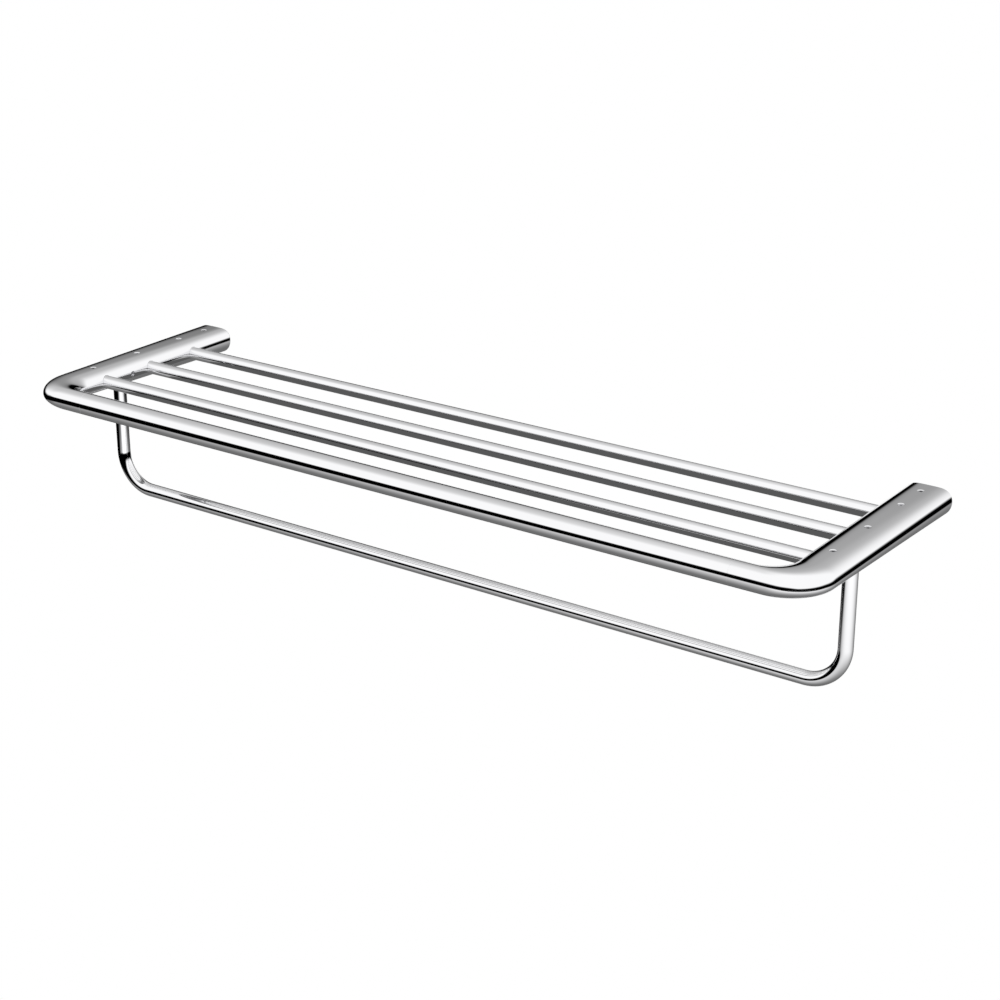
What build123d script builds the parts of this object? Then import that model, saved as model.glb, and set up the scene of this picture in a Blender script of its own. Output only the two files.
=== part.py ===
"""Two-tier towel rack for a bathroom wall.

Two flat-oval arms stand out from the wall and turn a round corner into a front rail. Three slim bars
between the arms make the shelf, and a U-shaped towel rail hangs below it.

Frame: X along the rack, Y into the wall, Z up. The origin lies on the wall, midway between the arms,
at the height of the shelf bars' axes.
"""
import os
from math import cos, radians, sin

from build123d import *

os.makedirs("parts", exist_ok=True)

# Overall sizes
overall_width = 800
overall_depth = 230
overrun = 4

# Front rail and its spigots
rail_diameter = 20
rail_wall = 1.5
spigot_length = 30
spigot_clearance = 0.05

# Arms: plan
arm_width_at_wall = 40
arm_width_at_corner = 37
corner_outer_radius = 37
corner_inner_radius = 24
corner_sections = 7
rail_stub_length = 7.5

# Arms: section heights above and below the bars' axes, at the wall
arm_top = 11.4
arm_bottom = 13.6
arm_widest_rise = 1.1
corner_widest_drop = 0.9
corner_growth_share = 0.4
round_share = 2.0
top_flatness_share = 4.6
bottom_flatness_share = 2.6
quarter_points = 8

# Arms: hollow end for the bracket, and the core behind it
pocket_width = 33
pocket_height = 18
pocket_drop = 1.1
pocket_depth = 30
pocket_corner_radius = 6
core_width = 27
core_height = 13.5
core_drop = 0.5
core_corner_radius = 4
core_end_setback = 34

# Shelf bars
bar_diameter = 12
bar_wall = 1.2
rear_bar_setback = 51.1
bar_clearance = 0.1
socket_depth = 1.5
bar_end_gap = 0.3

# Towel rail
towel_rail_diameter = 12
towel_rail_wall = 1.2
leg_to_middle_bar = 24.6
towel_rail_drop = 112.7
towel_rail_bend_radius = 33
leg_end_gap = 0.3

# Set screws, with a hexagon socket and a cone point
screw_diameter = 5
screw_clearance = 0.05
screw_length = 4
leg_screw_length = 11
screw_seat_gap = 0.1
screw_point_length = 1
screw_point_diameter = 2.4
socket_across_flats = 2.5
socket_hex_depth = 2
bracket_screw_setback = 16

# Wall brackets
plate_thickness = 3
plate_clearance = 0.3
tongue_width = 11
tongue_reach = 24
tongue_rise = 7
tongue_fillet = 1
wall_hole_diameter = 4.8
wall_hole_spacing = 21.4
countersink_diameter = 9
countersink_angle = 90

# Places that follow from the sizes
arm_x = (overall_width - arm_width_at_wall) / 2
rail_radius = rail_diameter / 2
bar_radius = bar_diameter / 2
rail_y = rail_radius - overall_depth
inner_side_x = arm_x - arm_width_at_corner / 2
rail_end_x = inner_side_x - corner_inner_radius - rail_stub_length
bar_names = ("front", "middle", "rear")
bar_pitch = (-rear_bar_setback - rail_y) / len(bar_names)
bar_places = {name: rail_y + bar_pitch * step for step, name in enumerate(bar_names, start=1)}
core_top_z = core_height / 2 - core_drop
socket_end_x = arm_x + core_width / 2 + socket_depth
leg_y = bar_places["middle"] - leg_to_middle_bar
sides = {"left": -1, "right": 1}


def arm_section(outer, inner, growth, widest):
    """Face of the arm between two points of its plan: round at growth 0, flat-topped at growth 1.

    widest is the height of its widest line.
    """
    centre = (outer + inner) / 2
    to_wall = 1 - centre.Y / rail_y
    top = rail_radius + (arm_top - rail_radius) * to_wall
    bottom = rail_radius + (arm_bottom - rail_radius) * to_wall
    half_width = (outer - inner).length / 2
    flatness = {
        top: round_share + (top_flatness_share - round_share) * growth,
        -bottom: round_share + (bottom_flatness_share - round_share) * growth,
    }
    across = (outer - inner).normalized()
    with BuildSketch(Plane(origin=centre, x_dir=across, z_dir=across.cross(Vector(0, 0, 1)))) as face:
        with BuildLine():
            for height, power in flatness.items():
                turns = [radians(90) * step / quarter_points for step in range(quarter_points + 1)]
                points = [
                    (half_width * sin(turn) ** (2 / power), widest + (height - widest) * cos(turn))
                    for turn in turns
                ]
                Spline(*points, tangents=((1, 0), (0, -1 if height > 0 else 1)))
            mirror(about=Plane.YZ)
        make_face()
    return face.sketch.faces()[0]


def corner_point(centre, radius, turn):
    """Point of an arc that leaves the rail's direction and turns towards the wall."""
    return centre + Vector(sin(turn), -cos(turn)) * radius


# Plan of the right arm: the arcs of its corner, each tangent to the rail and to the arm's side
outer_centre = Vector(
    arm_x + arm_width_at_corner / 2 - corner_outer_radius, corner_outer_radius - overall_depth
)
inner_centre = Vector(inner_side_x - corner_inner_radius, corner_inner_radius + rail_radius + rail_y)
turned_shares = [step / (corner_sections - 1) for step in range(corner_sections)]
corner_faces = [
    arm_section(
        corner_point(outer_centre, corner_outer_radius, radians(90) * turned),
        corner_point(inner_centre, corner_inner_radius, radians(90) * turned),
        corner_growth_share * turned,
        -corner_widest_drop * turned,
    )
    for turned in turned_shares
]
rail_end_face = arm_section(
    Vector(rail_end_x, rail_y - rail_radius), Vector(rail_end_x, rail_y + rail_radius), 0, 0
)
wall_end_face = arm_section(
    Vector(arm_x + arm_width_at_wall / 2, 0),
    Vector(arm_x - arm_width_at_wall / 2, 0),
    1,
    arm_widest_rise,
)

# Right arm: a hollow casting from the end of the rail round the corner to the wall
with BuildPart() as right_arm:
    loft(sections=[rail_end_face, corner_faces[0]], ruled=True)
    loft(sections=corner_faces)
    loft(sections=[corner_faces[-1], wall_end_face], ruled=True)

    # Pocket for the wall bracket, and the core that lightens the casting
    with BuildSketch(Plane.XZ):
        with Locations((arm_x, -pocket_drop)):
            RectangleRounded(pocket_width, pocket_height, pocket_corner_radius)
    extrude(amount=pocket_depth, mode=Mode.SUBTRACT)
    with BuildSketch(Plane.XZ):
        with Locations((arm_x, -core_drop)):
            RectangleRounded(core_width, core_height, core_corner_radius)
    extrude(amount=overall_depth - rail_radius - core_end_setback, mode=Mode.SUBTRACT)

    # Sockets of the shelf bars, through the inner wall, across the core and into the outer wall
    with BuildSketch(Plane.YZ.offset(arm_x - arm_width_at_wall / 2 - overrun)):
        with Locations([(y, 0) for y in bar_places.values()]):
            Circle(bar_radius + bar_clearance)
    extrude(amount=socket_end_x - arm_x + arm_width_at_wall / 2 + overrun, mode=Mode.SUBTRACT)

    # Bore for the spigot of the front rail
    with BuildSketch(Plane.YZ.offset(rail_end_x)):
        with Locations((rail_y, 0)):
            Circle(rail_radius - rail_wall)
    extrude(amount=spigot_length / 2, mode=Mode.SUBTRACT)

    # Hole for the leg of the towel rail, from below into the core
    with BuildSketch(Plane.XY.offset(-arm_bottom - overrun)):
        with Locations((arm_x, leg_y)):
            Circle(towel_rail_diameter / 2 + bar_clearance)
    extrude(amount=arm_bottom + overrun, mode=Mode.SUBTRACT)

    # Tapped holes in the top, and one in the inner face for the leg
    with BuildSketch(Plane.XY):
        with Locations([(arm_x, y) for y in (*bar_places.values(), -bracket_screw_setback)]):
            Circle(screw_diameter / 2)
    extrude(amount=arm_top + overrun, mode=Mode.SUBTRACT)
    with BuildSketch(Plane.YZ.offset(arm_x - arm_width_at_wall / 2 - overrun)):
        with Locations((leg_y, 0)):
            Circle(screw_diameter / 2)
    extrude(amount=arm_width_at_wall / 2 + overrun, mode=Mode.SUBTRACT)

with BuildPart() as left_arm:
    mirror(objects=right_arm.part, about=Plane.YZ)

for side, arm in (("right", right_arm), ("left", left_arm)):
    arm.part.label = f"{side}_arm"
    export_step(arm.part, f"parts/{side}_arm.step")

# Front rail: a plain tube from arm to arm
with BuildPart() as front_rail:
    with BuildSketch(Plane.YZ.offset(-rail_end_x)):
        with Locations((rail_y, 0)):
            Circle(rail_radius)
            Circle(rail_radius - rail_wall, mode=Mode.SUBTRACT)
    extrude(amount=2 * rail_end_x)
front_rail.part.label = "front_rail"
export_step(front_rail.part, "parts/front_rail.step")

# Spigots: half in the rail's bore, half in the arm's
for side, sign in sides.items():
    with BuildPart() as spigot:
        with BuildSketch(Plane.YZ.offset(sign * rail_end_x)):
            with Locations((rail_y, 0)):
                Circle(rail_radius - rail_wall - spigot_clearance)
        extrude(amount=spigot_length / 2 - spigot_clearance, both=True)
    spigot.part.label = f"{side}_rail_spigot"
    export_step(spigot.part, f"parts/{side}_rail_spigot.step")

# Shelf bars: tubes that cross both cores and stop in the outer walls
bar_half_length = socket_end_x - bar_end_gap
for place, y in bar_places.items():
    with BuildPart() as shelf_bar:
        with BuildSketch(Plane.YZ.offset(-bar_half_length)):
            with Locations((y, 0)):
                Circle(bar_radius)
                Circle(bar_radius - bar_wall, mode=Mode.SUBTRACT)
        extrude(amount=2 * bar_half_length)
    shelf_bar.part.label = f"{place}_shelf_bar"
    export_step(shelf_bar.part, f"parts/{place}_shelf_bar.step")

# Towel rail: one tube with two bends, its legs up inside the arms
leg_top_z = core_top_z - leg_end_gap
with BuildPart() as towel_rail:
    with BuildLine(Plane.XZ.offset(-leg_y)):
        FilletPolyline(
            (-arm_x, leg_top_z),
            (-arm_x, -towel_rail_drop),
            (arm_x, -towel_rail_drop),
            (arm_x, leg_top_z),
            radius=towel_rail_bend_radius,
        )
    with BuildSketch(Plane.XY.offset(leg_top_z)):
        with Locations((-arm_x, leg_y)):
            Circle(towel_rail_diameter / 2)
            Circle(towel_rail_diameter / 2 - towel_rail_wall, mode=Mode.SUBTRACT)
    sweep()
towel_rail.part.label = "towel_rail"
export_step(towel_rail.part, "parts/towel_rail.step")

# Wall brackets: a plate on the wall inside the arm, with a tongue that its set screw grips
plate_width = pocket_width - 2 * plate_clearance
plate_height = pocket_height - 2 * plate_clearance
tongue_height = tongue_rise + pocket_drop + plate_height / 2
for side, sign in sides.items():
    with BuildPart() as bracket:
        with BuildSketch(Plane.XZ):
            with Locations((sign * arm_x, -pocket_drop)):
                RectangleRounded(plate_width, plate_height, pocket_corner_radius - plate_clearance)
        extrude(amount=plate_thickness)
        with BuildSketch(Plane.XZ):
            with Locations((sign * arm_x, tongue_rise - tongue_height / 2)):
                RectangleRounded(tongue_width, tongue_height, tongue_fillet)
        extrude(amount=tongue_reach)
        with Locations(Plane.XZ.offset(plate_thickness)):
            with Locations((sign * arm_x, 0)):
                with GridLocations(wall_hole_spacing, 0, 2, 1):
                    CounterSinkHole(
                        radius=wall_hole_diameter / 2,
                        counter_sink_radius=countersink_diameter / 2,
                        depth=plate_thickness,
                        counter_sink_angle=countersink_angle,
                    )
    bracket.part.label = f"{side}_wall_bracket"
    export_step(bracket.part, f"parts/{side}_wall_bracket.step")


def set_screw(seat, length):
    """Set screw whose cone point stands at the seat plane's origin and whose socket faces out."""
    radius = screw_diameter / 2 - screw_clearance
    with BuildPart() as screw:
        with BuildSketch(seat):
            Circle(screw_point_diameter / 2)
        with BuildSketch(seat.offset(screw_point_length)):
            Circle(radius)
        loft()
        with BuildSketch(seat.offset(screw_point_length)):
            Circle(radius)
        extrude(amount=length - screw_point_length)
        with BuildSketch(seat.offset(length)):
            RegularPolygon(socket_across_flats / 2, side_count=6, major_radius=False)
        extrude(amount=-socket_hex_depth, mode=Mode.SUBTRACT)
    return screw.part


# Set screws over the ends of the shelf bars, one over each bracket's tongue, one against each leg
for side, sign in sides.items():
    seats = {
        f"{side}_{place}_bar_screw": (
            Plane((sign * arm_x, y, bar_radius + screw_seat_gap)),
            screw_length,
        )
        for place, y in bar_places.items()
    }
    seats[f"{side}_bracket_screw"] = (
        Plane((sign * arm_x, -bracket_screw_setback, tongue_rise + screw_seat_gap)),
        screw_length,
    )
    leg_side_x = sign * (arm_x - towel_rail_diameter / 2 - screw_seat_gap)
    seats[f"{side}_leg_screw"] = (
        Plane(origin=(leg_side_x, leg_y, 0), z_dir=(-sign, 0, 0)),
        leg_screw_length,
    )
    for name, (seat, length) in seats.items():
        screw_part = set_screw(seat, length)
        screw_part.label = name
        export_step(screw_part, f"parts/{name}.step")
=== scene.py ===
from math import atan2, cos, pi, radians, sin, sqrt

import bmesh
import bpy
from mathutils import Matrix, Vector


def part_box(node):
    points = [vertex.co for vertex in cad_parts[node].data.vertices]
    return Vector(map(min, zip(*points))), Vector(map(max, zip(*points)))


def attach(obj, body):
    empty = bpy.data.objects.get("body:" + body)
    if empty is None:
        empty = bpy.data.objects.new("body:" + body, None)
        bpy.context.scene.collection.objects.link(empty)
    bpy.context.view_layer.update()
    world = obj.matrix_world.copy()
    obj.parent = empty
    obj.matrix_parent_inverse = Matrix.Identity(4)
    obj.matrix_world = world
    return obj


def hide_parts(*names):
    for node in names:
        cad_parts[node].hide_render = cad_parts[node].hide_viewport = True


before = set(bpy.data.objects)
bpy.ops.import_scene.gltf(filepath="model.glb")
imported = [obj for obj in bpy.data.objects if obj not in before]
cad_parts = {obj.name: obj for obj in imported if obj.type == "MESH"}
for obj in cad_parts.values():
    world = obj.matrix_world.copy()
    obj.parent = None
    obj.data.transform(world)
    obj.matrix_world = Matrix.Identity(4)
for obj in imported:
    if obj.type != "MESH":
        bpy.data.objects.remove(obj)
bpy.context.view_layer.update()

# Wall brackets
# A bracket stands inside the open end of each arm: a steel plate that two screws hold on the wall, with
# a tongue welded to it that the arm slides over. It is plain rolled steel, since the arm hides it.


class Maths:
    """One socket of a node tree, or the bare tree. Arithmetic on it adds Math nodes."""

    def __init__(self, tree, socket=None):
        self.tree = tree
        self.socket = socket

    def node(self, kind, settings, sockets, output=0):
        """Any node of the tree: its settings go in first, then its sockets' values or links."""
        made = self.tree.nodes.new(kind)
        for name, setting in settings.items():
            setattr(made, name, setting)
        for name, value in sockets.items():
            if isinstance(value, Maths):
                self.tree.links.new(value.socket, made.inputs[name])
            else:
                made.inputs[name].default_value = value
        return Maths(self.tree, made.outputs[output] if len(made.outputs) else None)

    def maths(self, operation, *values):
        return self.node("ShaderNodeMath", {"operation": operation}, dict(enumerate(values)))

    def __add__(self, other):
        return self.maths("ADD", self, other)

    def __sub__(self, other):
        return self.maths("SUBTRACT", self, other)

    def __rsub__(self, other):
        return self.maths("SUBTRACT", other, self)

    def __mul__(self, other):
        return self.maths("MULTIPLY", self, other)

    __radd__ = __add__
    __rmul__ = __mul__


def noise(place, scale, detail=2.0, stretch=(1, 1, 1)):
    """Noise from 0 to 1 over the piece, with scale lumps to a metre and a stretch along each axis."""
    stretched = place.node("ShaderNodeMapping", {}, {"Vector": place, "Scale": stretch})
    return stretched.node(
        "ShaderNodeTexNoise", {}, {"Vector": stretched, "Scale": scale, "Detail": detail}
    )


def metal(name, light, dark, finish):
    """Metal whose colour runs from light to dark where finish says, which gives roughness and relief too.

    finish takes the place on the piece and gives the share of dark, the roughness, and the height of the
    relief in metres.
    """
    material = bpy.data.materials.new(name)
    material.use_nodes = True
    material.node_tree.nodes.clear()
    bare = Maths(material.node_tree)
    place = bare.node("ShaderNodeTexCoord", {}, {}, "Object")
    share, roughness, height = finish(place)
    colour = bare.node(
        "ShaderNodeMix",
        {"data_type": "RGBA"},
        {"Factor": share, 6: (*light, 1), 7: (*dark, 1)},
        2,
    )
    relief = bare.node("ShaderNodeBump", {}, {"Height": height, "Distance": 1.0})
    shader = bare.node(
        "ShaderNodeBsdfPrincipled",
        {},
        {"Base Color": colour, "Metallic": 1.0, "Roughness": roughness, "Normal": relief},
    )
    bare.node("ShaderNodeOutputMaterial", {}, {"Surface": shader})
    return material


def rolled(place):
    """Fine grain along the sheet, with duller patches."""
    grain = noise(place, 260, 4, (0.08, 1, 1))
    patches = noise(place, 45)
    return 0.6 * patches + 0.4 * grain, 0.28 + 0.2 * patches + 0.1 * grain, 0.00003 * grain


sides = ("left", "right")
bracket_steel = metal("rolled_steel", (0.7, 0.7, 0.71), (0.5, 0.5, 0.51), rolled)
for side in sides:
    for material_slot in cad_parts[f"{side}_wall_bracket"].material_slots:
        material_slot.material = bracket_steel

# Arms
# Each arm is one hollow zinc casting, polished and chromed: round where it meets the front rail, it turns
# the corner and widens into a flat-topped oval. Its open end slides over the bracket and stands on the wall.
arm_width_at_wall = 0.04
arm_width_at_corner = 0.037
corner_outer_radius = 0.037
corner_inner_radius = 0.024
corner_growth = 0.4
widest_at_corner = -0.0009
widest_at_wall = 0.0011
round_power = 2.0
top_power_at_wall = 4.6
bottom_power_at_wall = 2.6
section_points = 144
stub_steps = 3
corner_steps = 30
straight_steps = 56
joint_edge = 0.00012
wall_edge = 0.0004
pocket_size = (0.033, 0.03, 0.018)
pocket_drop = 0.0011
pocket_corner = 0.006
core_size = (0.027, 0.0135)
core_drop = 0.0005
core_corner = 0.004
core_end_setback = 0.034
socket_clearance = 0.0001
socket_depth = 0.0015
tapped_radius = 0.0025
countersink = 0.00045
sharp_angle = radians(22)
overrun = 0.004
round_cut_points = 64
rounding_steps = 8
edge_steps = 2
merge_distance = 1e-7
plane_tolerance = 1e-6
plating_light = (0.883, 0.883, 0.893)
plating_dark = (0.836, 0.836, 0.85)
wave_relief = 0.0000006
hairline_relief = 0.00000003
bar_names = ("front", "middle", "rear")


def radius_of(low, high):
    """Radius of a tube that the box's depth spans, to a tenth of a millimetre, clear of the mesh's facets."""
    return round((high.y - low.y) / 2, 4)


arm_low, arm_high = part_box("right_arm")
rail_low, rail_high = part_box("front_rail")
towel_low, towel_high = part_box("towel_rail")
bar_boxes = {name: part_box(f"{name}_shelf_bar") for name in bar_names}
rail_radius = radius_of(rail_low, rail_high)
rail_y = (rail_high.y + rail_low.y) / 2
rail_end_x = rail_high.x
arm_x = arm_high.x - arm_width_at_wall / 2
bar_radius = radius_of(*bar_boxes["front"])
bar_y = {name: (low.y + high.y) / 2 for name, (low, high) in bar_boxes.items()}
leg_radius = radius_of(towel_low, towel_high)
leg_y = (towel_high.y + towel_low.y) / 2
bracket_screw_low, bracket_screw_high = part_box("right_bracket_screw")
bracket_screw_y = (bracket_screw_low.y + bracket_screw_high.y) / 2


def chrome(name, lumps, run):
    """Mirror chrome. lumps is how many soft waves of the polishing lie in a metre, and run their stretch."""

    def polished(place):
        waves = noise(place, lumps, 1, run)
        haze = noise(place, 24, 3)
        hairlines = noise(place, 900, 2, run)
        share = 0.5 * haze + 0.3 * hairlines
        roughness = 0.01 + 0.02 * haze + 0.01 * hairlines
        return share, roughness, wave_relief * waves + hairline_relief * hairlines

    return metal(name, plating_light, plating_dark, polished)


def as_cast(place):
    """The grainy skin of the casting inside, where no plating reaches."""
    grain = noise(place, 700, 3)
    return noise(place, 60), 0.5 + 0.2 * grain, 0.00006 * grain


def finished(name, bm, materials):
    """Object of the bmesh, at the origin, with hard edges where faces meet at an angle."""
    bmesh.ops.remove_doubles(bm, verts=bm.verts, dist=merge_distance)
    bmesh.ops.recalc_face_normals(bm, faces=bm.faces)
    mesh = bpy.data.meshes.new(name)
    bm.to_mesh(mesh)
    bm.free()
    for material in materials:
        mesh.materials.append(material)
    for face in mesh.polygons:
        face.use_smooth = True
    mesh.set_sharp_from_angle(angle=sharp_angle)
    made = bpy.data.objects.new(name, mesh)
    bpy.context.scene.collection.objects.link(made)
    return made


def pointing(axis):
    """Matrix that turns the Z axis onto an axis."""
    return Vector((0, 0, 1)).rotation_difference(axis).to_matrix().to_4x4()


def cylinder(bm, radius, start, end, end_radius=None):
    """Closed cylinder, or a cone if end_radius is given, from one point to another."""
    axis = end - start
    bmesh.ops.create_cone(
        bm,
        cap_ends=True,
        segments=round_cut_points,
        radius1=radius,
        radius2=radius if end_radius is None else end_radius,
        depth=axis.length,
        matrix=Matrix.Translation((start + end) / 2) @ pointing(axis),
    )


def bevelled(bm, edges, offset, steps):
    """Rounds the edges off."""
    bmesh.ops.bevel(
        bm,
        geom=edges,
        offset=offset,
        offset_type="OFFSET",
        segments=steps,
        profile=0.5,
        affect="EDGES",
        material=-1,
    )


def extruded(bm, edges):
    """Extrudes a rim, and gives the points and the edges of its new place."""
    grown = bmesh.ops.extrude_edge_only(bm, edges=edges)["geom"]
    points = [item for item in grown if isinstance(item, bmesh.types.BMVert)]
    here = set(points)
    rim = [item for item in grown if isinstance(item, bmesh.types.BMEdge) and set(item.verts) <= here]
    return points, rim


def end_edges(bm, end_x):
    """The edges that lie in a plane square to X."""
    return [
        edge for edge in bm.edges if all(abs(vert.co.x - end_x) < plane_tolerance for vert in edge.verts)
    ]


def rounded_block(bm, size, centre, corner):
    """Block along Y with four rounded edges."""
    placed = Matrix.Translation(centre) @ Matrix.Diagonal((*size, 1))
    block = bmesh.ops.create_cube(bm, size=1, matrix=placed)
    along = [
        edge
        for edge in {edge for vert in block["verts"] for edge in vert.link_edges}
        if abs(edge.verts[0].co.y - edge.verts[1].co.y) > size[1] / 2
    ]
    bevelled(bm, along, corner, rounding_steps)


def cut(body, bm, material):
    """Cuts the closed shapes of the bmesh out of the body. The cut faces take the material."""
    cutter = finished("cutter", bm, [material])
    modifier = body.modifiers.new("cut", "BOOLEAN")
    modifier.operation = "DIFFERENCE"
    modifier.solver = "EXACT"
    modifier.material_mode = "TRANSFER"
    modifier.object = cutter
    shaped = bpy.data.meshes.new_from_object(body.evaluated_get(bpy.context.evaluated_depsgraph_get()))
    body.modifiers.remove(modifier)
    old = body.data
    shaped.name = old.name
    body.data = shaped
    bpy.data.meshes.remove(old)
    bpy.data.meshes.remove(cutter.data)


def on_arc(centre, radius, turn):
    """Point of an arc that leaves the front rail's direction and turns towards the wall."""
    return centre + Vector((sin(turn), -cos(turn))) * radius


def arm_stations():
    """Outer and inner point of each section of the right arm, how far it has grown, and its widest height."""
    side_x = arm_x + arm_width_at_corner / 2
    outer_centre = Vector((side_x - corner_outer_radius, arm_low.y + corner_outer_radius))
    inner_centre = Vector(
        (side_x - arm_width_at_corner - corner_inner_radius, rail_y + rail_radius + corner_inner_radius)
    )
    corner_start = on_arc(outer_centre, corner_outer_radius, 0), on_arc(inner_centre, corner_inner_radius, 0)
    corner_end = (
        on_arc(outer_centre, corner_outer_radius, pi / 2),
        on_arc(inner_centre, corner_inner_radius, pi / 2),
    )
    rail_end = Vector((rail_end_x, rail_y - rail_radius)), Vector((rail_end_x, rail_y + rail_radius))
    wall_end = Vector((arm_high.x, 0)), Vector((arm_high.x - arm_width_at_wall, 0))
    for step in range(1, stub_steps + 1):
        share = step / stub_steps
        yield rail_end[0].lerp(corner_start[0], share), rail_end[1].lerp(corner_start[1], share), 0, 0
    for step in range(1, corner_steps + 1):
        share = step / corner_steps
        yield (
            on_arc(outer_centre, corner_outer_radius, share * pi / 2),
            on_arc(inner_centre, corner_inner_radius, share * pi / 2),
            corner_growth * share,
            widest_at_corner * share,
        )
    for step in range(1, straight_steps + 1):
        share = step / straight_steps
        yield (
            corner_end[0].lerp(wall_end[0], share),
            corner_end[1].lerp(wall_end[1], share),
            corner_growth + (1 - corner_growth) * share,
            widest_at_corner + (widest_at_wall - widest_at_corner) * share,
        )


def shape_section(ring, across, up, outer, inner, growth, widest):
    """Moves a ring's points, which carry their place on a round section, onto the arm's own section."""
    centre = (outer + inner) / 2
    to_wall = 1 - centre.y / rail_y
    top = rail_radius + (arm_high.z - rail_radius) * to_wall
    bottom = rail_radius + (-arm_low.z - rail_radius) * to_wall
    top_power = round_power + (top_power_at_wall - round_power) * growth
    bottom_power = round_power + (bottom_power_at_wall - round_power) * growth
    for vert in ring:
        rising = vert[up] > 0
        reach = (top - widest) if rising else (bottom + widest)
        power = top_power if rising else bottom_power
        height = reach * sqrt(max(0, 1 - abs(vert[across]) ** power))
        plan = centre + (outer - inner) / 2 * vert[across]
        vert.co = (plan.x, plan.y, widest + (height if rising else -height))


def arm_shell():
    """Closed outer skin of the right arm, from the rail's end to the wall."""
    bm = bmesh.new()
    across = bm.verts.layers.float.new("across")
    up = bm.verts.layers.float.new("up")
    ring = bmesh.ops.create_circle(bm, segments=section_points, radius=1)["verts"]
    for vert in ring:
        vert[across], vert[up] = vert.co.x, vert.co.y
        vert.co = (rail_end_x, rail_y - rail_radius * vert[across], rail_radius * vert[up])
    edges = list(bm.edges)
    bmesh.ops.contextual_create(bm, geom=edges)
    for station in arm_stations():
        ring, edges = extruded(bm, edges)
        shape_section(ring, across, up, *station)
    bmesh.ops.contextual_create(bm, geom=edges)
    for rim, offset in ((edges, wall_edge), (end_edges(bm, rail_end_x), joint_edge)):
        bevelled(bm, rim, offset, edge_steps)
    bm.verts.layers.float.remove(bm.verts.layers.float["across"])
    bm.verts.layers.float.remove(bm.verts.layers.float["up"])
    return bm


cast_chrome = chrome("cast_chrome", 30, (1, 1, 1))
bare_casting = metal("bare_casting", (0.5, 0.51, 0.53), (0.36, 0.37, 0.39), as_cast)
right_arm = finished("right_arm_casting", arm_shell(), [cast_chrome])

pocket = bmesh.new()
pocket_centre = Vector((arm_x, (overrun - pocket_size[1]) / 2, -pocket_drop))
rounded_block(
    pocket, (pocket_size[0], pocket_size[1] + overrun, pocket_size[2]), pocket_centre, pocket_corner
)
cut(right_arm, pocket, bare_casting)

core = bmesh.new()
core_length = -arm_low.y - rail_radius - core_end_setback - pocket_size[1] / 2
rounded_block(
    core,
    (core_size[0], core_length, core_size[1]),
    Vector((arm_x, -pocket_size[1] / 2 - core_length / 2, -core_drop)),
    core_corner,
)
cut(right_arm, core, bare_casting)

sockets = bmesh.new()
for y in bar_y.values():
    cylinder(
        sockets,
        bar_radius + socket_clearance,
        Vector((arm_x - arm_width_at_wall / 2 - overrun, y, 0)),
        Vector((arm_x + core_size[0] / 2 + socket_depth, y, 0)),
    )
cylinder(
    sockets,
    leg_radius + socket_clearance,
    Vector((arm_x, leg_y, arm_low.z - overrun)),
    Vector((arm_x, leg_y, 0)),
)
cut(right_arm, sockets, bare_casting)


def arm_top_at(y):
    """Height of the arm's top along its middle."""
    return rail_radius + (arm_high.z - rail_radius) * (1 - y / rail_y)


tapped = bmesh.new()
for y in (*bar_y.values(), bracket_screw_y):
    cylinder(tapped, tapped_radius, Vector((arm_x, y, 0)), Vector((arm_x, y, arm_high.z + overrun)))
cylinder(
    tapped,
    tapped_radius,
    Vector((arm_x, leg_y, 0)),
    Vector((arm_x - arm_width_at_wall / 2 - overrun, leg_y, 0)),
)
cut(right_arm, tapped, cast_chrome)

countersinks = bmesh.new()
for y in (*bar_y.values(), bracket_screw_y):
    surface = Vector((arm_x, y, arm_top_at(y)))
    cylinder(
        countersinks,
        tapped_radius,
        surface - Vector((0, 0, countersink)),
        surface + Vector((0, 0, countersink)),
        end_radius=tapped_radius + 2 * countersink,
    )
cut(right_arm, countersinks, cast_chrome)


def mirrored(name, source):
    """Copy of a piece on the other side of the rack, with its normals turned out again."""
    bm = bmesh.new()
    bm.from_mesh(source.data)
    bmesh.ops.transform(bm, matrix=Matrix.Scale(-1, 4, (1, 0, 0)), verts=bm.verts)
    return finished(name, bm, source.data.materials)


right_arm.data.set_sharp_from_angle(angle=sharp_angle)
arms = {"right": right_arm, "left": mirrored("left_arm_casting", right_arm)}
for side, arm in arms.items():
    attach(arm, "root")
    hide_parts(f"{side}_arm")

# Rail spigots
# A short brass plug, turned to a close fit, joins each end of the front rail to its arm. It is hidden
# once the rack is together.


def turned(place):
    """Fine rings left by the lathe along the plug."""
    rings = noise(place, 2500, 1, (1, 0.02, 0.02))
    return 0.5 * noise(place, 90) + 0.3 * rings, 0.22 + 0.15 * rings, 0.00001 * rings


spigot_brass = metal("turned_brass", (0.78, 0.62, 0.33), (0.6, 0.46, 0.22), turned)
for side in sides:
    for material_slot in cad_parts[f"{side}_rail_spigot"].material_slots:
        material_slot.material = spigot_brass

# Front rail
# The thick rail across the front is a length of drawn brass tube, chromed, with its ends faced square and
# their edges just broken. It meets each arm in a hairline joint.
rail_wall = 0.0015
tube_points = 128
tube_chrome = chrome("tube_chrome", 40, (0.06, 1, 1))


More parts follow.
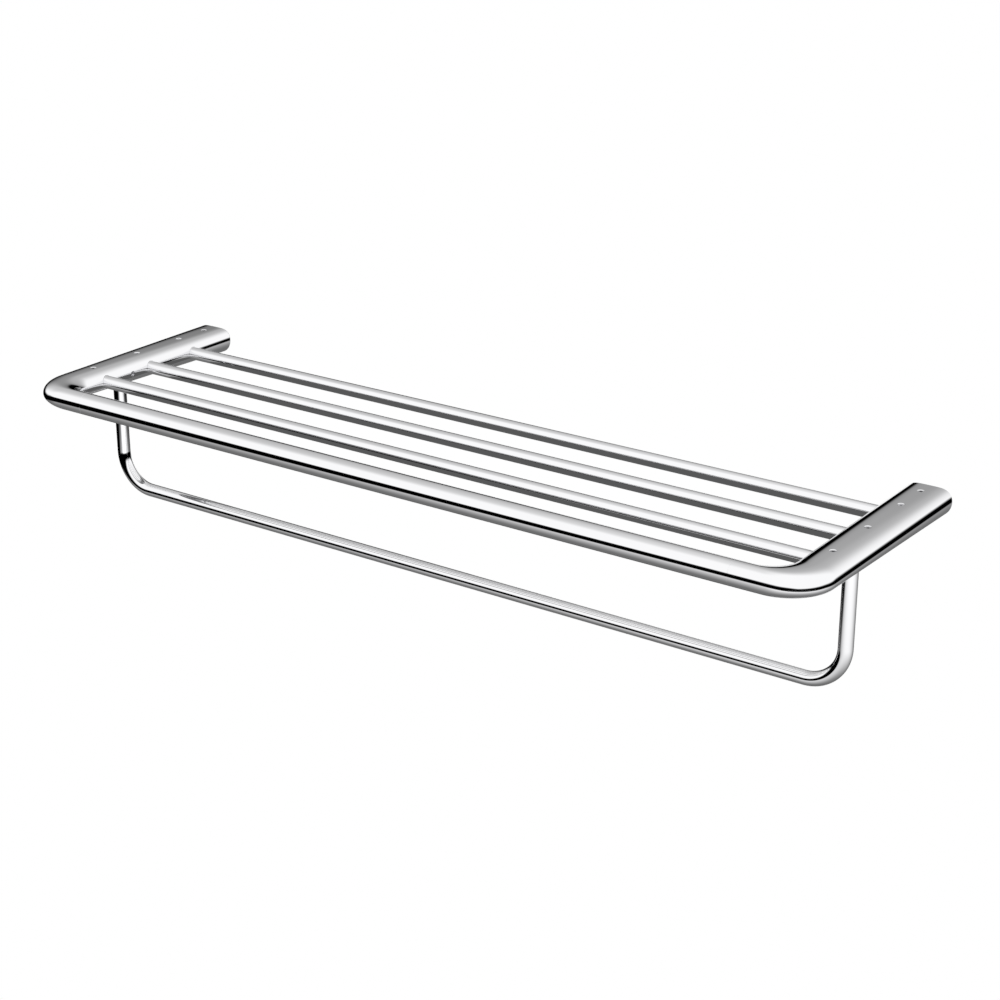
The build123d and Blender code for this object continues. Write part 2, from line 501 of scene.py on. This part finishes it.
def tube(name, radius, wall, end_x, y, edge=0):
    """Straight tube along X, centred on the rack, with an edge break at its ends."""
    bm = bmesh.new()
    bmesh.ops.create_circle(
        bm,
        segments=tube_points,
        radius=radius,
        matrix=Matrix.Translation((-end_x, y, 0)) @ Matrix.Rotation(pi / 2, 4, "Y"),
    )
    far_end, _ = extruded(bm, list(bm.edges))
    bmesh.ops.translate(bm, vec=(2 * end_x, 0, 0), verts=far_end)
    bmesh.ops.recalc_face_normals(bm, faces=bm.faces)
    bmesh.ops.solidify(bm, geom=bm.faces, thickness=wall)
    if edge:
        facet = 2 * radius * sin(pi / tube_points)
        rims = [
            rim
            for end in (-end_x, end_x)
            for rim in end_edges(bm, end)
            if all((vert.co - Vector((end, y, 0))).length > radius - wall / 2 for vert in rim.verts)
            and abs(rim.calc_length() - facet) < wall / 4
        ]
        bevelled(bm, rims, edge, edge_steps)
    return finished(name, bm, [tube_chrome])


front_rail = tube("front_rail_tube", rail_radius, rail_wall, rail_end_x, rail_y, joint_edge)
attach(front_rail, "root")
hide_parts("front_rail")

# Shelf bars
# Three slim drawn tubes, chromed like the rail, run from arm to arm. Their ends sit in sockets in the arms,
# where set screws hold them.
bar_wall = 0.0012
for name, (low, high) in bar_boxes.items():
    shelf_bar = tube(f"{name}_shelf_bar_tube", bar_radius, bar_wall, high.x, bar_y[name])
    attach(shelf_bar, "root")
    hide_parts(f"{name}_shelf_bar")

# Towel rail
# The lower rail is one chromed tube of the bars' size, cold-bent on a mandrel at both ends. Its legs stand
# straight up into holes under the arms, level with the middle of the shelf.
bend_radius = 0.033
bend_steps = 32
rail_drop = -towel_low.z - leg_radius


def bent_tube():
    """One tube along the U, from the top of the left leg to the top of the right leg."""
    bm = bmesh.new()
    bmesh.ops.create_circle(
        bm,
        segments=tube_points,
        radius=leg_radius,
        matrix=Matrix.Translation((-arm_x, leg_y, towel_high.z)),
    )
    ring = list(bm.edges)

    def drawn(way):
        moved, rim = extruded(bm, ring)
        bmesh.ops.translate(bm, vec=way, verts=moved)
        return rim

    def bent(centre_x):
        made = bmesh.ops.spin(
            bm,
            geom=ring,
            cent=(centre_x, leg_y, bend_radius - rail_drop),
            axis=(0, -1, 0),
            angle=pi / 2,
            steps=bend_steps,
        )
        return [item for item in made["geom_last"] if isinstance(item, bmesh.types.BMEdge)]

    straight_drop = Vector((0, 0, -(towel_high.z + rail_drop - bend_radius)))
    ring = drawn(straight_drop)
    ring = bent(-arm_x + bend_radius)
    ring = drawn(Vector((2 * (arm_x - bend_radius), 0, 0)))
    ring = bent(arm_x - bend_radius)
    ring = drawn(-straight_drop)
    bmesh.ops.remove_doubles(bm, verts=bm.verts, dist=merge_distance)
    bmesh.ops.recalc_face_normals(bm, faces=bm.faces)
    bmesh.ops.solidify(bm, geom=bm.faces, thickness=bar_wall)
    return bm


towel_rail = finished("towel_rail_tube", bent_tube(), [tube_chrome])
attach(towel_rail, "root")
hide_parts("towel_rail")

# Set screws
# Headless steel screws with a hexagon socket and a cone point: one in the arm's top over the end of each bar,
# one over the bracket's tongue, and a longer one in the arm's inner face against the towel rail's leg.
screw_radius = 0.00245
screw_rim = 0.0003
point_radius = 0.0012
point_length = 0.001
hexagon_across_flats = 0.0025
hexagon_depth = 0.002
mouth_radius = 0.0016
mouth_depth = 0.0002
screw_points = 48


def machined(place):
    """Fine turned surface with darker oil in its grain."""
    grain = noise(place, 1800, 2)
    return 0.6 * noise(place, 400) + 0.3 * grain, 0.2 + 0.2 * grain, 0.00001 * grain


def to_hexagon(place):
    """How far out the hexagon lies, towards a point of the round ring."""
    past_corner = atan2(place.y, place.x) % (pi / 3)
    return hexagon_across_flats / 2 / cos(past_corner - pi / 6)


def set_screw(name, point, head):
    """Screw turned about the line from the end of its point to its socket's face."""
    length = (head - point).length
    bm = bmesh.new()
    bmesh.ops.create_circle(bm, cap_ends=True, segments=screw_points, radius=point_radius)
    edges = list(bm.edges)
    for radius, height in (
        (screw_radius, point_length),
        (screw_radius, length - screw_rim),
        (screw_radius - screw_rim, length),
        (mouth_radius, length),
        (None, length - mouth_depth),
        (None, length - hexagon_depth),
    ):
        ring, edges = extruded(bm, edges)
        for vert in ring:
            spoke = Vector((vert.co.x, vert.co.y, 0)).normalized()
            vert.co = spoke * (to_hexagon(spoke) if radius is None else radius) + Vector((0, 0, height))
    bmesh.ops.contextual_create(bm, geom=edges)
    placed = Matrix.Translation(point) @ pointing(head - point)
    bmesh.ops.transform(bm, matrix=placed, verts=bm.verts)
    screw = finished(f"{name}_part", bm, [screw_steel])
    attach(screw, "root")
    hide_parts(name)


screw_steel = metal("machined_steel", (0.62, 0.62, 0.63), (0.36, 0.36, 0.38), machined)
for side in sides:
    for role in (*(f"{name}_bar" for name in bar_names), "bracket"):
        name = f"{side}_{role}_screw"
        low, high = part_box(name)
        middle = (low + high) / 2
        set_screw(name, Vector((middle.x, middle.y, low.z)), Vector((middle.x, middle.y, high.z)))
    low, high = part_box(f"{side}_leg_screw")
    inner_x, outer_x = sorted((low.x, high.x), key=abs)
    set_screw(f"{side}_leg_screw", Vector((outer_x, leg_y, 0)), Vector((inner_x, leg_y, 0)))

# Studio
# The rack hangs in a large, softly glowing tent above a pale floor. A dark gap round the tent draws the black
# lines in the chrome. A dark flag lies under the shelf bars, whose lower halves mirror it, and a black collar
# lies round the right front corner. The camera sees none of them but the floor.
tent_radius = 12.0
tent_fineness = 5
floor_drop = 1.25
floor_radius = 9.0
floor_paint = (0.86, 0.86, 0.86, 1)
soft_level = 0.8
white = (1, 1, 1, 1)
roof_glow = 1.1
shade_glow = 0.47
gap_top = 0.105
gap_top_softness = 0.1
gap_foot = -0.33
gap_foot_softness = 0.03
ground_glow = 0.17
ground_front_glow = 1.65
ground_rise = 1.6
flag_place = (0, -0.125, -0.025)
flag_size = (0.71, 0.187)
flag_glow = 0.11
collar_place = (0.3615, -0.193, -0.03)
collar_radius = 0.132
collar_width = 0.037
collar_heading = Vector((0.78, -0.62, 0))
collar_half_turn = radians(65)
collar_points = 180
first_reflection_only = 1.5


def eased(value, low, high):
    """0 to 1, softly, as a value goes from low to high."""
    return value.node(
        "ShaderNodeMapRange",
        {"interpolation_type": "SMOOTHSTEP"},
        {"Value": value, "From Min": low, "From Max": high},
    )


def towards(way, side, start, full=1):
    """0 to 1 as a way turns to a side, from one cosine of their angle to another, which may be out of reach."""
    nearness = way.node("ShaderNodeVectorMath", {"operation": "DOT_PRODUCT"}, {0: way, 1: side}, 1)
    return eased(nearness, start, full)


def studio_light(place):
    """Brightness of the tent towards each side of the rack. Heights are sines of the angle above level."""
    direction = place.node("ShaderNodeVectorMath", {"operation": "NORMALIZE"}, {0: place})
    height = direction.node("ShaderNodeSeparateXYZ", {}, {0: direction}, 2)
    level = direction.node("ShaderNodeVectorMath", {"operation": "MULTIPLY"}, {0: direction, 1: (1, 1, 0)})
    heading = level.node("ShaderNodeVectorMath", {"operation": "NORMALIZE"}, {0: level})

    above_left = towards(direction, (-0.69, 0.2, 0.7), 0.82, 1.11)
    back_left = towards(direction, (-0.46, 0.88, 0.09), 0.44, 0.97)
    shaded = 1 - (1 - above_left) * (1 - back_left)
    roof = roof_glow + shaded * (shade_glow * eased(height, 0.09, 0.48) - roof_glow)

    ground_front = towards(heading, (0.71, -0.71, 0), -0.8, 1.25)
    ground = ground_glow + (ground_front_glow + ground_rise * height) * ground_front

    behind = towards(heading, (-0.53, 0.85, 0), 0.93)
    front_left = towards(heading, (-0.67, -0.74, 0), 0.9)
    top = (
        gap_top
        + 0.12 * towards(heading, (0.14, -0.99, 0), 0.75)
        - 0.07 * towards(heading, (0.6, 0.8, 0), 0.8)
        - 0.07 * towards(heading, (-0.998, -0.07, 0), 0.93)
        + 0.19 * behind
    )
    top_softness = gap_top_softness - 0.06 * (behind + front_left)
    foot = (
        gap_foot
        + 0.045 * towards(heading, (0.88, -0.47, 0), 0.45)
        - 0.1 * towards(heading, (-0.996, -0.087, 0), 0.4, 0.95)
        + 0.17 * towards(heading, (-0.53, 0.85, 0), 0.9)
    )
    low_back_card = towards(direction, (-0.306, 0.943, -0.13), 0.955, 0.97) * eased(height, -0.3, -0.2)
    return (
        roof * eased(height - top, -1 * top_softness, top_softness)
        + ground * (1 - eased(height - foot, -gap_foot_softness, gap_foot_softness))
        + low_back_card
    )


def stage_material(name, shade):
    """Material of the studio. shade takes the bare tree and gives the shader."""
    material = bpy.data.materials.new(name)
    material.use_nodes = True
    material.node_tree.nodes.clear()
    bare = Maths(material.node_tree)
    bare.node("ShaderNodeOutputMaterial", {}, {"Surface": shade(bare)})
    material.cycles.emission_sampling = "NONE"
    return material


def glow(bare, strength):
    return bare.node("ShaderNodeEmission", {}, {"Color": white, "Strength": strength})


def glowing(bare):
    """The tent's cloth."""
    return glow(bare, studio_light(bare.node("ShaderNodeTexCoord", {}, {}, "Object")))


def one_sided(strength):
    """Gives the shader of a dark cloth that is clear from its back, and that only a first reflection shows."""

    def dusky(bare):
        clear = bare.node("ShaderNodeBsdfTransparent", {}, {})
        from_back = bare.node("ShaderNodeNewGeometry", {}, {}, "Backfacing")
        reflections = bare.node("ShaderNodeLightPath", {}, {}, "Ray Depth")
        later = reflections.maths("GREATER_THAN", reflections, first_reflection_only)
        unseen = from_back.maths("MAXIMUM", from_back, later)
        return bare.node("ShaderNodeMixShader", {}, {"Fac": unseen, 1: glow(bare, strength), 2: clear})

    return dusky


def seen(bare):
    """1 for what the camera, a reflection or a glass shows, and 0 for the light that falls on a piece."""
    camera_ray = bare.node("ShaderNodeLightPath", {}, {}, "Is Camera Ray")
    glossy_ray = bare.node("ShaderNodeLightPath", {}, {}, "Is Glossy Ray")
    transmission_ray = bare.node("ShaderNodeLightPath", {}, {}, "Is Transmission Ray")
    return camera_ray.maths("MAXIMUM", camera_ray, glossy_ray.maths("MAXIMUM", glossy_ray, transmission_ray))


def pale(bare):
    """Pale floor paint, which the camera shows as the photograph's white."""
    paint = bare.node("ShaderNodeBsdfDiffuse", {}, {"Color": floor_paint})
    return bare.node("ShaderNodeMixShader", {}, {"Fac": seen(bare), 1: paint, 2: glow(bare, 1.0)})


tent_cloth = bmesh.new()
bmesh.ops.create_icosphere(tent_cloth, subdivisions=tent_fineness, radius=tent_radius)
tent = finished("tent", tent_cloth, [stage_material("tent_cloth", glowing)])
tent.visible_camera = False
tent.visible_shadow = False

# The flag and the collar are painted shade in the chrome's reflections: the flag darkens the shelf bars' lower
# halves to grey, and the collar draws a black line round the right front corner. Only a first reflection sees
# them.
flag_cloth = bmesh.new()
bmesh.ops.create_grid(
    flag_cloth,
    x_segments=1,
    y_segments=1,
    size=0.5,
    matrix=Matrix.Translation(flag_place) @ Matrix.Diagonal((*flag_size, 1, 1)),
)
collar_cloth = bmesh.new()
bmesh.ops.create_circle(collar_cloth, segments=collar_points, radius=collar_radius)
inner_points, _ = extruded(collar_cloth, list(collar_cloth.edges))
for vert in inner_points:
    narrowing = min(1, vert.co.angle(collar_heading) / collar_half_turn) ** 2
    vert.co *= 1 - collar_width * (1 - narrowing) / collar_radius
bmesh.ops.translate(collar_cloth, vec=collar_place, verts=collar_cloth.verts)
for name, cloth, strength in (("flag", flag_cloth, flag_glow), ("collar", collar_cloth, 0.0)):
    dark_cloth = finished(name, cloth, [stage_material(f"{name}_cloth", one_sided(strength))])
    if dark_cloth.data.polygons[0].normal.z < 0:
        dark_cloth.data.flip_normals()
    dark_cloth.visible_camera = False
    dark_cloth.visible_diffuse = False
    dark_cloth.visible_shadow = False

floor_disc = bmesh.new()
bmesh.ops.create_circle(
    floor_disc,
    cap_ends=True,
    segments=round_cut_points,
    radius=floor_radius,
    matrix=Matrix.Translation((0, 0, -floor_drop)),
)
floor = finished("floor", floor_disc, [stage_material("pale_floor", pale)])
floor.visible_glossy = False

world = bpy.data.worlds.new("white_background")
bpy.context.scene.world = world
world.use_nodes = True
world.node_tree.nodes.clear()
sky = Maths(world.node_tree)
sky_level = soft_level + (1 - soft_level) * seen(sky)
background = sky.node("ShaderNodeBackground", {}, {"Color": white, "Strength": sky_level})
sky.node("ShaderNodeOutputWorld", {}, {"Surface": background})

# Camera
# It stands in front of the rack, to its right and a little above, and looks down at its middle.
camera_place = (0.9977, -1.4366, 0.5844)
camera_pitch = 0.3662
camera_yaw = 0.6232
camera_lens = 74.89
sensor_width = 36
camera_data = bpy.data.cameras.new("camera")
camera_data.lens = camera_lens
camera_data.sensor_width = sensor_width
camera = bpy.data.objects.new("camera", camera_data)
camera.location = camera_place
camera.rotation_euler = (pi / 2 - camera_pitch, 0, camera_yaw)
bpy.context.scene.collection.objects.link(camera)
bpy.context.scene.camera = camera
bpy.context.scene.view_settings.view_transform = "Standard"
